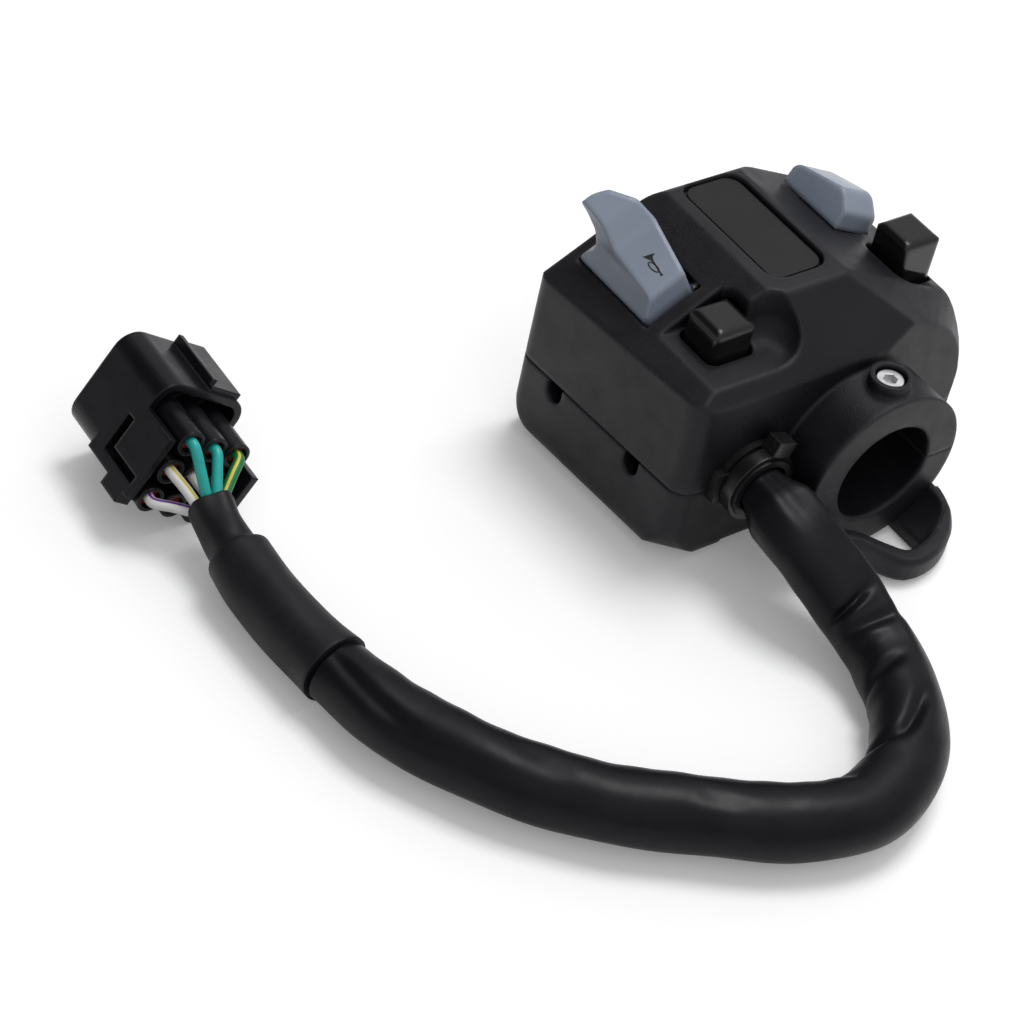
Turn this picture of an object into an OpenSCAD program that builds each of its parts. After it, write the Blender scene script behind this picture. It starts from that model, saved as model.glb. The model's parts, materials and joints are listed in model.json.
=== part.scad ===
// Handlebar switch cluster for a motorbike: a two-piece clamshell on the bar, four thumb controls,
// and a sleeved lead that ends in a sealed connector. Millimetres, +Z up.
// Origin: bar axis, in the plane of the clamp collar's open face. +X leaves the collar along the bar.

/* [Bar clamp] */
// Radius of the bore that grips the handlebar
bar_r = 11.1; // [10.6:0.1:11.8]
// Outer radius of the clamp collar
collar_r = 18; // [16.5:0.1:18.6]
// Length of the collar in front of the case
collar_len = 11; // [9:0.5:14]
// Wall of the tunnel that carries the bar through the case
tunnel_wall = 2; // [1.5:0.1:2.5]
// Outer radius of the boss for the locking screw
boss_r = 4.2; // [3.8:0.1:5]
// Height of the boss above the bar axis
boss_top = 20.4; // [19.6:0.1:22]

/* [Case] */
// Length of the case along the bar
case_len = 48.5; // [47:0.5:54]
// Reach of the left wall from the bar axis, far end
left_reach = 44.7; // [43.5:0.1:47]
// How much nearer the left wall comes at the collar end
left_taper = 3.3; // [2:0.1:4]
// Reach of the right wall from the bar axis
right_reach = 29.5; // [29:0.1:31]
// Height of the raised centre above the seam
top_z = 33.8; // [32.5:0.1:36]
// Depth of the lower case below the seam
case_depth = 19; // [18.4:0.1:22]
// Wall thickness of both cases
wall = 2.4; // [2:0.1:2.6]
// Thickness of the roof under the centre panel
roof = 4; // [3.6:0.1:4.6]

/* [Controls] */
// Side of the square push button caps
cap_side = 9.6; // [9:0.1:10.2]
// Height of the left push button's cap above the seam
cap_top = 30; // [29:0.1:31]
// Width of the horn rocker across its slope
horn_w = 12; // [11:0.1:12.4]
// Length of the turn slider's knob
turn_len = 16.2; // [14:0.1:17]
// Slide of the turn knob to either side
turn_slide = 2.6; // [2:0.1:2.8]
// Gap round every control
play = 0.35; // [0.3:0.01:0.45]

/* [Lead and connector] */
// Outer radius of the lead's sleeve
sleeve_r = 6.9; // [6.2:0.1:7.1]
// Outer radius of one wire
wire_r = 1.05; // [0.8:0.05:1.2]
// Width of the connector shroud
conn_w = 22; // [21.6:0.1:24]
// Height of the connector shroud
conn_h = 21.8; // [21.4:0.1:23]
// Pitch of the wire towers
tower_pitch = 6; // [5.8:0.05:6.2]

/* [Hidden] */
$fn = 48;
x_near = -collar_len;
x_far = x_near - case_len;
floor_z = -case_depth;
near_reach = left_reach - left_taper;
taper_a = atan2(left_taper, case_len);

// Reach of the cutting outlines, past every edge of the case
past = case_len + left_reach + right_reach;

// Section of the upper case: left slope, flat centre, right slope
spine_l = -19.5;
spine_r = -1.5;
slope_drop = 13.3;
slope_run = 23.1;
slope_a = atan2(slope_drop, slope_run);
right_drop = 12.5;
right_run = 26;
right_a = atan2(right_drop, right_run);
shoulder_z = 20.5;
shoulder_run = 10.5;
far_draft = 2.2;
corner_cut = 1.4;
corner_r = 10;
seam_h = 0.5;
seam_t = 0.45;

// Rounded shoulder over the collar's right side, and the facet below it
dome_cut = 2;
dome_z = 15;
dome_r = 21;
dome_a = 34;
facet_y = 8.2;
facet_z = 16.2;
facet_turn = 11;
facet_lean = 12;

function slope_z(y) = top_z + (y - spine_l) * slope_drop / slope_run;
function right_z(y) = top_z - (y - spine_r) * right_drop / right_run;

// Centre panel and its recess
panel_x0 = x_near - 15;
panel_len = case_len - 19.5;
panel_w = 12.6;
panel_y = (spine_l + spine_r) / 2 + 0.6;
panel_t = 1.7;
panel_sunk = 0.6;
panel_z = top_z - panel_sunk - panel_t;
panel_gap = 0.9;
panel_corner = 3;
peg_r = 1.2;

// Pockets of the two push buttons
left_btn = [x_near - 13.5, 12.8 - near_reach];
left_floor = 23.4;
left_edge = left_btn.y - 9.4;
bowl_at = [x_near - 6, left_btn.y + 6.2];
bowl_turn = 128;
bowl_r = 7;
bowl_fillet = 4.6;
right_btn = [x_near - 18.5, right_reach - 8.1];
right_floor = 21.2;
right_top = cap_top + 1.2;
cap_gap = 0.8;
btn_flange = [cap_side + 2.4, 5.4];
flange_t = 1.3;
guide_r = 1.6;

// Horn rocker, in the frame of the left slope
horn_y = 11.7 - left_reach;
horn_x0 = x_near - 23.4;
horn_x1 = x_far + 4.5;
horn_len = horn_x0 - horn_x1;
horn_pivot = [horn_x0 - 2.6, -4.2];
horn_pin_r = 1;
horn_v0 = 0.4 - horn_w / 2;
horn_v1 = 0.4 + horn_w / 2;
horn_gap = 0.8;
horn_ear = 2.2;
horn_under = -3.4;
horn_spring_x = (horn_x0 + horn_x1) / 2 - 3.3;
horn_base_w = -9.5;
horn_boss_r = 2;
contact_x = horn_spring_x + 3.2;
contact_len = horn_pivot.x - horn_boss_r - 1.6 - contact_x;
contact_w = 4;
contact_t = 0.8;

// Turn slider, in the frame of the right slope
turn_y = right_reach - 15;
turn_x = x_near - 35.3;
turn_w = 11;
turn_tail = 7.5;
turn_nose = turn_len - turn_tail;
turn_neck = [6, 6];
turn_flange = [10.8, 9.5];

// Switch plates and the screws that clamp them between the cases
plate_z = 5;
plate_t = 2;
plate_top = plate_z + plate_t;
pin_len = 2;
lead_wire_r = 0.9;
post_r = 2.9;
post_bore = 9;
screw_r = 1.5;
screw_clear = 0.2;
screw_head_r = 2.7;
screw_head_t = 1.8;
screw_head_z = floor_z + 2.2;
left_posts = [[x_far + 5, -18], [x_near - 20.5, 3.6 - near_reach]];
right_posts = [[x_far + 4.8, right_reach - 5.6], [x_near - 6.6, right_reach - 7]];
all_posts = concat(left_posts, right_posts);

// Lead exit: grommet between the two cases, and the tie round it
exit_y = -26;
exit_z = 1.2;
neck_r = 5;
grommet_gap = 0.4;
grommet_bore = neck_r + grommet_gap;
grommet_r = grommet_bore + 1.3;
grommet_len = 5.6;
grommet_lip = 1.5;
grommet_fit = 0.03;
tie_t = 0.9;
tie_w = 2.8;
tie_x = x_near + 2.2;

// Hook beside the collar: centre line, then its half thickness and half height at each point
hook_route = [[x_near + 0.4, -20, -7.4], [x_near + 8.4, -20.4, -8], [2.6, -17, -8.8], [5, -9.6, -11],
    [7.9, -3, -14.4], [10.9, 2, -15.9], [10.4, 8, -15.9], [7.4, 13.8, -15.9], [2.8, 18.4, -15.6],
    [-3, 21.6, -15]];
hook_t = [1.5, 1.5, 1.6, 1.8, 2, 2.1, 2.1, 1.9, 1.3, 0.3];
hook_h = [2.4, 2.5, 2.8, 3, 2.9, 2.9, 2.9, 2.8, 2.2, 0.5];

// Route of the sleeve, its heat-shrink and the wires, on the surface that the cluster lies on
lead_z = floor_z + sleeve_r + 0.1;
lead_in = x_near - wall;
lead_route = [[lead_in, exit_y, exit_z], [x_near + 3, exit_y, exit_z], [x_near + 9, exit_y, exit_z - 0.6],
    [6, -25.4, -1.4], [14, -23.2, -5.6], [22, -21.6, -9.8], [32, -22, lead_z],
    [45, -28, lead_z], [54, -37, lead_z], [58, -49, lead_z], [55, -62, lead_z], [47, -75, lead_z],
    [35, -91, lead_z], [21, -103, lead_z], [4, -112, lead_z], [-11.5, -115.8, lead_z]];
lead_r = [for (i = [0 : len(lead_route) - 1])
    i < 3 ? neck_r : (i == 3 || i > len(lead_route) - 2 ? sleeve_r - 0.8 : sleeve_r)];
shrink_route = [[-11.5, -115.8, lead_z], [-22, -117, lead_z], [-34, -117.5, lead_z + 0.2],
    [-41.5, -117.3, lead_z + 0.8], [-44.5, -117.2, lead_z + 1.3], [-50, -116.8, lead_z + 2.4],
    [-54, -116.4, lead_z + 3.6]];
shrink_r = [6.7, 6.6, 6.4, 6.2, 4.7, 4.4, 4.5];
wire_root = [-54, -116.4, lead_z + 3.6];

// Connector, lying rolled on one edge; its own x runs from the mating mouth towards the wires
conn_roll = -33;
conn_yaw = -2.6;
conn_corner = 4.4;
conn_wall = 1.6;
conn_low = (conn_w / 2 - conn_corner) * sin(-conn_roll) + (conn_h / 2 - conn_corner) * cos(conn_roll);
conn_at = [-85.6, -114, floor_z + conn_corner + conn_low];
hood_len = 16;
plate_back = 25;
conn_web = [9.5, 12];
tower_r = 2.75;
tower_bore = 2;
tower_len = 25.4;
row_c = [4.6, -2.1, -8.8];
mouth_clear = 4.8;

// Outline helpers
function unit(v) = v / norm(v);
function xy(p) = [p.x, p.y];
function corner(a, b, c, r, n) =
    let (u = unit(a - b), w = unit(c - b), half = acos(u * w) / 2)
    let (p = b + u * r / tan(half), q = b + w * r / tan(half), m = b + unit(u + w) * r / sin(half))
    let (a0 = atan2(p.y - m.y, p.x - m.x), a1 = atan2(q.y - m.y, q.x - m.x))
    let (turn = (a1 - a0 + 540) % 360 - 180)
    r < 0.05 ? [b] : [for (i = [0 : n]) m + r * [cos(a0 + turn * i / n), sin(a0 + turn * i / n)]];
function rounded(pts, n = 8) =
    let (k = len(pts))
    [for (i = [0 : k - 1])
        each corner(xy(pts[(i + k - 1) % k]), xy(pts[i]), xy(pts[(i + 1) % k]), pts[i][2], n)];
function area(p) =
    let (k = len(p))
    [for (i = [0 : k - 1]) p[i].x * p[(i + 1) % k].y - p[(i + 1) % k].x * p[i].y]
        * [for (i = [0 : k - 1]) 0.5];
function inset(p, t) =
    let (k = len(p), s = sign(area(p)))
    [for (i = [0 : k - 1])
        let (e = unit(xy(p[i]) - xy(p[(i + k - 1) % k])), f = unit(xy(p[(i + 1) % k]) - xy(p[i])))
        let (n = s * [-e.y, e.x], m = s * [-f.y, f.x], q = xy(p[i]) + t * (n + m) / (1 + n * m))
        [q.x, q.y, max(p[i][2] - t, 0)]];
function box_outline(w, h, r) = rounded([
    [-w / 2, -h / 2, r], [w / 2, -h / 2, r], [w / 2, h / 2, r], [-w / 2, h / 2, r]]);

// Sweep helpers for the lead, the wires and the springs
function spline_at(a, b, c, d, s) =
    0.5 * (2 * b + (c - a) * s + (2 * a - 5 * b + 4 * c - d) * s * s + (3 * b - a - 3 * c + d) * s * s * s);
function spline(p, n) =
    let (k = len(p) - 1)
    concat([for (i = [0 : k - 1], j = [0 : n - 1])
        spline_at(p[max(i - 1, 0)], p[i], p[i + 1], p[min(i + 2, k)], j / n)], [p[k]]);

// Radii for a spline of n steps per span
function along(r, n) =
    concat([for (i = [0 : len(r) - 2], j = [0 : n - 1]) r[i] + (r[i + 1] - r[i]) * j / n], [r[len(r) - 1]]);

module sweep(pts, radii, sides = 8, up = [0, 0, 1]) {
    n = len(pts);
    rings = [for (i = [0 : n - 1])
        let (t = unit(pts[min(i + 1, n - 1)] - pts[max(i - 1, 0)]))
        let (side = unit(cross(t, up)), rise = cross(side, t))
        for (k = [0 : sides - 1])
            pts[i] + radii[i] * (cos(360 * k / sides) * side + sin(360 * k / sides) * rise)];
    loft(rings, n, sides);
}

// Closed skin over n rings of points, each with that many sides
module loft(rings, n, sides) {
    walls = [for (i = [0 : n - 2], k = [0 : sides - 1])
        let (a = i * sides + k, b = i * sides + (k + 1) % sides)
        each [[a, b, b + sides], [a, b + sides, a + sides]]];
    start = [for (k = [1 : sides - 2]) [0, k + 1, k]];
    last = (n - 1) * sides;
    end = [for (k = [1 : sides - 2]) [last, last + k, last + k + 1]];
    polyhedron(rings, concat(walls, start, end), convexity = 6);
}

// Strap along pts with an eight-sided section, t thick and h high to either side
module strap(pts, t, h) {
    n = len(pts);
    k = 0.6;
    section = [[1, -k], [1, k], [k, 1], [-k, 1], [-1, k], [-1, -k], [-k, -1], [k, -1]];
    rings = [for (i = [0 : n - 1])
        let (d = unit(pts[min(i + 1, n - 1)] - pts[max(i - 1, 0)]))
        let (side = unit(cross(d, [0, 0, 1])), rise = cross(side, d))
        for (q = section) pts[i] + q.x * t[i] * side + q.y * h[i] * rise];
    loft(rings, n, len(section));
}

module tube(pts, r, n, sides = 8, up = [0, 0, 1]) {
    path = spline(pts, n);
    sweep(path, [for (p = path) r], sides, up);
}

// Compression spring along +Z from z = 0, wound from round wire
module coil(od, wire, turns, length) {
    steps = 8 * turns;
    r = (od - wire) / 2;
    path = [for (i = [0 : steps])
        [r * cos(45 * i), r * sin(45 * i), wire / 2 + (length - wire) * i / steps]];
    sweep(path, [for (p = path) wire / 2], 6);
}

module along_x(x0, x1) {
    translate([x0, 0, 0]) rotate([90, 0, 90]) linear_extrude(x1 - x0) children();
}

module along_y(y0, y1) {
    translate([0, y1, 0]) rotate([90, 0, 0]) linear_extrude(y1 - y0) children();
}

// Frames of the two slopes: local x along the bar, local z out of the surface
module on_left_slope() {
    translate([0, horn_y, slope_z(horn_y)]) rotate([slope_a, 0, 0]) children();
}

module on_right_slope() {
    translate([0, turn_y, right_z(turn_y)]) rotate([-right_a, 0, 0]) children();
}

// Plan of both cases at the seam, drawn in by t
function plan(t) = rounded(inset([
    [x_near, -near_reach, 4],
    [x_near, right_reach, 5],
    [x_far, right_reach, 8],
    [x_far, -left_reach, 3.4]], t));

function upper_section(t) = rounded(inset([
    [-70, -8, 0],
    [-70, slope_z(-70), 0],
    [spine_l, top_z, 2],
    [spine_r, top_z, 2],
    [right_reach, right_z(right_reach), 5],
    [right_reach, -8, 0]], t));

function upper_side(t) = rounded(inset([
    [x_near, -8, 0],
    [x_near, shoulder_z, 2],
    [x_near - shoulder_run, top_z, 1.6],
    [x_far + far_draft, top_z, 3],
    [x_far, -8, 0]], t));

function dome_side(t) = rounded(inset([
    [-past, -12, 0],
    [-dome_cut, -12, 0],
    [-dome_cut, dome_z, dome_r],
    [-past, dome_z + (past - dome_cut) * tan(dome_a), 0]], t));

function facet_side(t) = rounded(inset([
    [-past, -past, 0],
    [past * tan(facet_lean), -past, 0],
    [-past * tan(facet_lean), past, 0],
    [-past, past, 0]], t));

module upper_body(t, z0) {
    intersection() {
        along_x(x_far - 2, x_near + 2) polygon(upper_section(t));
        translate([0, 0, z0]) linear_extrude(60) polygon(plan(t));
        along_y(-80, 80) polygon(upper_side(t));
        translate([x_near, right_reach, 0]) rotate([0, 0, 45]) along_y(-past, past) polygon(dome_side(t));
        translate([x_near, facet_y, facet_z]) rotate([0, 0, facet_turn])
            along_y(-past, past) polygon(facet_side(t));
    }
}

module lower_body(t) {
    intersection() {
        translate([0, 0, floor_z + t]) linear_extrude(case_depth - t + (t > 0 ? 1 : 0)) polygon(plan(t));
        translate([x_far, -(left_reach - t), 0]) rotate([0, 0, taper_a]) along_x(-20, case_len + 30)
            polygon(rounded([[0, 2, 0], [0, floor_z + t, 5 - t], [140, floor_z + t, 0], [140, 2, 0]]));
        along_x(x_far - 5, x_near + 5) polygon(rounded([
            [-80, 2, 0], [-80, floor_z + t, 0], [right_reach - t, floor_z + t, 9 - t],
            [right_reach - t, 2, 0]]));
        along_y(-80, 80) polygon(rounded([
            [x_near - t, 2, 0], [x_near - t, floor_z + t, 3.4 - t], [x_far + t, floor_z + t, 4 - t],
            [x_far + t, 2, 0]]));
        low_corner([x_near, -near_reach], -45, t);
        low_corner([x_far, -left_reach], -135, t);
    }
}

// Rounds the bottom of a vertical corner, seen along its diagonal
module low_corner(at, turn, t) {
    translate([at.x, at.y, 0]) rotate([0, 0, turn]) along_y(-140, 140) polygon(rounded([
        [-corner_cut - t, 2, 0], [-corner_cut - t, floor_z + t, corner_r - t], [-160, floor_z + t, 0],
        [-160, 2, 0]]));
}

// Pocket of the left button: straight sides, and a bowl that runs up into the raised centre
module left_pocket(grow) {
    z0 = left_floor - grow;
    far = left_btn.x - cap_side / 2 - 1.2 - grow;
    r = bowl_r + grow;
    radial = [cos(bowl_turn), sin(bowl_turn)];
    run_dir = [-sin(bowl_turn), cos(bowl_turn)];
    rim = bowl_at + r * radial;
    run = (far - rim.x) / run_dir.x;
    foot = bowl_at + run * run_dir;
    end = rim + run * run_dir;
    side = rounded([[0, 0, 0], [r, 0, bowl_fillet + grow], [r, 20, 0], [0, 20, 0]]);
    translate([0, 0, z0]) linear_extrude(30) polygon(rounded([
        [far, left_edge - grow, 2], [x_near + 6, left_edge - grow, 0], [x_near + 6, bowl_at.y, 0],
        [bowl_at.x, bowl_at.y, 0], [foot.x, foot.y, 0], [end.x, end.y, 0]]));
    translate([bowl_at.x, bowl_at.y, z0]) {
        rotate_extrude() polygon(side);
        rotate([0, 0, bowl_turn]) along_y(-0.01, run) polygon(side);
    }
}

module right_pocket(grow) {
    translate([0, 0, right_floor - grow]) linear_extrude(30) polygon(rounded([
        [right_btn.x - 5.6 - grow, right_btn.y - 6.6 - grow, 3],
        [right_btn.x + 7.6 + grow, right_btn.y - 6.6 - grow, 3],
        [right_btn.x + 7.6 + grow, right_reach + 9, 0],
        [right_btn.x - 5.6 - grow, right_reach + 9, 0]]));
}

// Opening of the horn rocker and of the turn slider, cut square to their slopes
module horn_opening() {
    on_left_slope() translate([horn_x1 - 0.6, horn_v0 - play, -12])
        cube([horn_len + 1.6, horn_w + play + horn_gap, 30]);
}

module turn_slot() {
    half = turn_neck.x / 2 + turn_slide + play;
    on_right_slope() translate([turn_x - half, -turn_neck.y / 2 - play, -12])
        cube([2 * half, turn_neck.y + 2 * play, 30]);
}

module half_space(upper) {
    translate([-150, -150, upper ? 0 : -80]) cube([300, 300, 80]);
}

module collar(upper) {
    intersection() {
        rotate([0, 90, 0]) translate([0, 0, x_near - 1])
            cylinder(r = collar_r, h = collar_len + 1, $fn = 96);
        half_space(upper);
    }
}

module bar_bore() {
    rotate([0, 90, 0]) translate([0, 0, x_far - 5])
        cylinder(r = bar_r, h = case_len + collar_len + 10, $fn = 96);
}

module tunnel(upper) {
    intersection() {
        rotate([0, 90, 0]) translate([0, 0, x_far + 0.5])
            cylinder(r = bar_r + tunnel_wall, h = case_len - 1, $fn = 96);
        half_space(upper);
    }
}

module posts(list, z0, z1, r) {
    for (p = list)
        translate([p.x, p.y, z0]) cylinder(r = r, h = z1 - z0);
}

module horn_ears() {
    on_left_slope() for (v = [horn_v0 - play - horn_ear, horn_v1 + horn_gap])
        translate([horn_pivot.x - 2.2, v, horn_pivot.y - 2.2]) cube([4.4, horn_ear, 5]);
}

// Hinge line of the rocker, from ear to ear, and further by spare at each end
module horn_pin_bore(r, spare = 0) {
    on_left_slope() translate([horn_pivot.x, horn_v1 + horn_gap + horn_ear + spare, horn_pivot.y])
        rotate([90, 0, 0]) cylinder(r = r, h = horn_w + play + horn_gap + 2 * (horn_ear + spare));
}

// Hole for the grommet, half in each case
module exit_bore() {
    translate([x_near - wall - 1, exit_y, exit_z]) rotate([0, 90, 0])
        cylinder(r = grommet_r + grommet_fit, h = wall + 2);
}

// Two pegs under the centre panel
module panel_pegs(r, z0) {
    for (s = [-1, 1])
        translate([panel_x0 - panel_len / 2 + s * panel_len / 3, panel_y, z0])
            cylinder(r = r, h = panel_z - z0 + 0.1);
}

boss_x = -collar_len / 2;
screw_seat = boss_top - 3;

module upper_case() {
    color("#1c1c1e") difference() {
        union() {
            difference() {
                upper_body(0, 0);
                difference() {
                    intersection() {
                        upper_body(wall, -1);
                        translate([-150, -150, -2]) cube([300, 300, top_z - roof + 2]);
                    }
                    left_pocket(wall);
                    right_pocket(wall);
                    posts(all_posts, plate_top, top_z, post_r);
                    tunnel(true);
                    horn_ears();
                }
                left_pocket(0);
                right_pocket(0);
            }
            collar(true);
            translate([boss_x, 0, bar_r + 1]) cylinder(r = boss_r, h = boss_top - bar_r - 1);
        }
        bar_bore();
        horn_opening();
        horn_pin_bore(horn_pin_r + 0.02, 0.4);
        turn_slot();
        for (at = [left_btn, right_btn])
            translate([at.x, at.y, plate_top + 4]) linear_extrude(40)
                polygon(box_outline(cap_side + 2 * cap_gap, cap_side + 2 * cap_gap, 2.2));
        translate([panel_x0 - panel_len / 2, panel_y, panel_z]) linear_extrude(10)
            polygon(box_outline(
                panel_len + 2 * panel_gap, panel_w + 2 * panel_gap, panel_corner + panel_gap));
        panel_pegs(peg_r + 0.1, top_z - roof - 1);
        exit_bore();
        posts(all_posts, plate_top - 1, plate_top + post_bore, screw_r + 0.02);
        translate([boss_x, 0, bar_r - 3]) cylinder(r = 2.05, h = 20);
        translate([boss_x, 0, screw_seat]) cylinder(r = 3.2, h = 20);
    }
}

module lower_case() {
    color("#1a1a1c") difference() {
        union() {
            difference() {
                lower_body(0);
                translate([0, 0, -seam_h]) linear_extrude(seam_h + 1) difference() {
                    polygon(plan(-1));
                    polygon(plan(seam_t));
                }
                difference() {
                    lower_body(wall);
                    posts(all_posts, floor_z, 0.5, post_r);
                    tunnel(false);
                }
            }
            collar(false);
            intersection() {
                posts(all_posts, floor_z + wall, plate_z, post_r);
                translate([0, 0, floor_z]) linear_extrude(60) polygon(plan(wall + 0.9));
            }
        }
        bar_bore();
        exit_bore();
        posts(all_posts, floor_z - 1, plate_z + 1, screw_r + screw_clear);
        posts(all_posts, floor_z - 1, screw_head_z + screw_head_t, screw_head_r + 0.3);
        for (x = [x_near - 13.9, x_near - 36.8]) {
            translate([x - 2.2, -(left_reach + 5), -2.6]) cube([4.4, 14, 4]);
            translate([x, -(left_reach + 5), -2.6]) rotate([-90, 0, 0]) cylinder(r = 2.2, h = 14);
        }
        translate([x_near - 3.5, -27.2, floor_z - 1]) cube([10, 14.4, 3.8]);
    }
}

module centre_panel() {
    color("#242426") {
        translate([panel_x0 - panel_len / 2, panel_y, panel_z]) linear_extrude(panel_t)
            polygon(box_outline(panel_len, panel_w, panel_corner));
        panel_pegs(peg_r, top_z - roof);
    }
}

module locking_screw() {
    color("#b9bcc0") difference() {
        union() {
            translate([boss_x, 0, bar_r + 0.4]) cylinder(r = 2, h = screw_seat - bar_r);
            translate([boss_x, 0, screw_seat]) cylinder(r = 2.65, h = 2.1);
        }
        translate([boss_x, 0, screw_seat + 0.7]) cylinder(r = 1.45, h = 4, $fn = 6);
    }
}

module case_screws() {
    color("#9a9da1") for (p = all_posts) difference() {
        union() {
            translate([p.x, p.y, screw_head_z + screw_head_t - 0.01])
                cylinder(r = screw_r, h = plate_top + post_bore - 0.2 - screw_head_z - screw_head_t);
            translate([p.x, p.y, screw_head_z]) cylinder(r = screw_head_r, h = screw_head_t);
        }
        for (a = [0, 90])
            translate([p.x, p.y, screw_head_z - 0.1]) rotate([0, 0, a])
                translate([-1.5, -0.35, 0]) cube([3, 0.7, 1.1]);
    }
}

// Horn rocker: side profile with a hooked lip, a plan that widens to the lip, and leaning flanks
module horn_button() {
    color("#7d8287") difference() {
        on_left_slope() {
            intersection() {
                along_y(-20, 20) polygon(rounded([
                    [horn_x0, horn_under, 0], [horn_x0, 0.8, 0.6], [horn_x0 - 1, 4.2, 1.4],
                    [horn_x0 - 0.62 * horn_len, 6.6, 6], [horn_x1 + 3.6, 10, 3], [horn_x1 - 2.6, 12.2, 0.8],
                    [horn_x1 - 2.2, 10.2, 0.5], [horn_x1 + 1.8, 7.2, 2], [horn_x1 + 2.6, 3.4, 1.2],
                    [horn_x1, 1.2, 0.7], [horn_x1, horn_under, 0]]));
                translate([0, 0, -10]) linear_extrude(30) polygon(rounded([
                    [horn_x0 + 0.1, horn_v0, 1.5], [horn_x0 + 0.1, horn_v1 - 1, 1.5],
                    [horn_x0 - 0.63 * horn_len, horn_v1 + 2.1, 3], [horn_x1 + 4, horn_v1 + 1.6, 2],
                    [horn_x1 - 0.6, horn_v1 - 1.4, 1.6], [horn_x1 - 2.8, horn_v0 + 5.4, 0.8],
                    [horn_x1 - 0.2, horn_v0, 0.8]]));
                along_x(horn_x1 - 6, horn_x0 + 1) polygon(rounded([
                    [horn_v0, -6, 0], [horn_v0, 0.7, 0.6], [horn_v0 + 3.2, 4.4, 5], [horn_v0 + 5.2, 9.4, 4],
                    [horn_v0 + 5.6, 14, 0], [horn_v1 + 2.4, 14, 0], [horn_v1 + 2.4, 5, 1],
                    [horn_v1, 1.6, 0.6], [horn_v1, -6, 0]]));
            }
            translate([horn_pivot.x, horn_v1, horn_pivot.y]) rotate([90, 0, 0])
                cylinder(r = horn_boss_r, h = horn_w);
        }
        horn_pin_bore(horn_pin_r + 0.05);
    }
}

module horn_pin() {
    color("#b0b3b7") horn_pin_bore(horn_pin_r);
}

horn_mid = (horn_v0 + horn_v1) / 2;

module horn_spring() {
    color("#a8abb0") on_left_slope() translate([horn_spring_x, horn_mid, horn_base_w])
        coil(5, 0.7, 5, horn_under - horn_base_w);
}

module horn_contact() {
    color("#c59a4a") on_left_slope()
        translate([contact_x, horn_mid - contact_w / 2, horn_under - contact_t])
            cube([contact_len, contact_w, contact_t]);
}

// Block under the rocker, standing on the switch plate, with its top parallel to the slope
module horn_base() {
    x0 = left_posts[0].x + post_r + 0.6;
    x1 = contact_x + contact_len + 0.6;
    color("#2b3a33") difference() {
        intersection() {
            on_left_slope() translate([x0, horn_mid - 5, horn_base_w - 30]) cube([x1 - x0, 10, 30]);
            translate([x_far, -60, plate_top]) cube([case_len, 60, 60]);
        }
        on_left_slope() translate([contact_x + contact_len / 2, horn_mid, horn_base_w - 1])
            cylinder(r = 1.2, h = 4);
    }
}

// Push buttons: cap, collar under the case, and a guide pin in the switch plate
function cap_view(top) = rounded([
    [-cap_side / 2, 0, 0], [cap_side / 2, 0, 0], [cap_side / 2, top - 8, 0],
    [cap_side / 2 - 0.3, top, 1.6], [-cap_side / 2 + 0.3, top, 1.6], [-cap_side / 2, top - 8, 0]]);

module push_button(pocket_floor, top, tint) {
    z0 = flange_z(pocket_floor);
    color(tint) {
        intersection() {
            translate([0, 0, z0]) linear_extrude(60) polygon(box_outline(cap_side, cap_side, 1.7));
            along_x(-20, 20) polygon(cap_view(top));
            along_y(-20, 20) polygon(cap_view(top));
        }
        translate([0, 0, z0]) linear_extrude(flange_t) polygon(box_outline(btn_flange.x, btn_flange.y, 1));
        translate([0, 0, plate_z + 0.4]) cylinder(r = guide_r, h = z0 - plate_z);
    }
}

function flange_z(pocket_floor) = pocket_floor - wall - 0.1 - flange_t;

module left_button() {
    translate([left_btn.x, left_btn.y, 0]) push_button(left_floor, cap_top, "#161618");
}

module left_button_spring() {
    color("#a8abb0") translate([left_btn.x, left_btn.y, plate_top])
        coil(6, 0.7, 6, flange_z(left_floor) - plate_top);
}

module left_button_contact() {
    color("#c59a4a") translate([left_btn.x, left_btn.y, 0]) difference() {
        translate([-4.6, -4.6, flange_z(left_floor) - 0.6]) cube([9.2, 9.2, 0.6]);
        cylinder(r = 3.4, h = 40);
    }
}

module left_switch_plate() {
    color("#2b3a33") difference() {
        translate([0, 0, plate_z]) linear_extrude(plate_t) polygon(rounded([
            [x_near - wall - 0.6, -(near_reach - wall - 0.8), 3],
            [x_near - wall - 0.6, -bar_r - tunnel_wall - 1, 1],
            [x_far + wall + 1.6, -bar_r - tunnel_wall - 1, 1],
            [x_far + wall + 1.6, -(left_reach - wall - 1.2), 3]]));
        posts(left_posts, plate_z - 1, plate_top + 1, screw_r + screw_clear);
        translate([left_btn.x, left_btn.y, plate_z - 1]) cylinder(r = guide_r + 0.08, h = plate_t + 2);
    }
}

module left_terminals() {
    color("#c59a4a") for (i = [0 : 3])
        translate([x_near - 8 - 5 * i, -18.2, plate_z - pin_len]) cube([1.2, 1.2, pin_len]);
}

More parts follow.
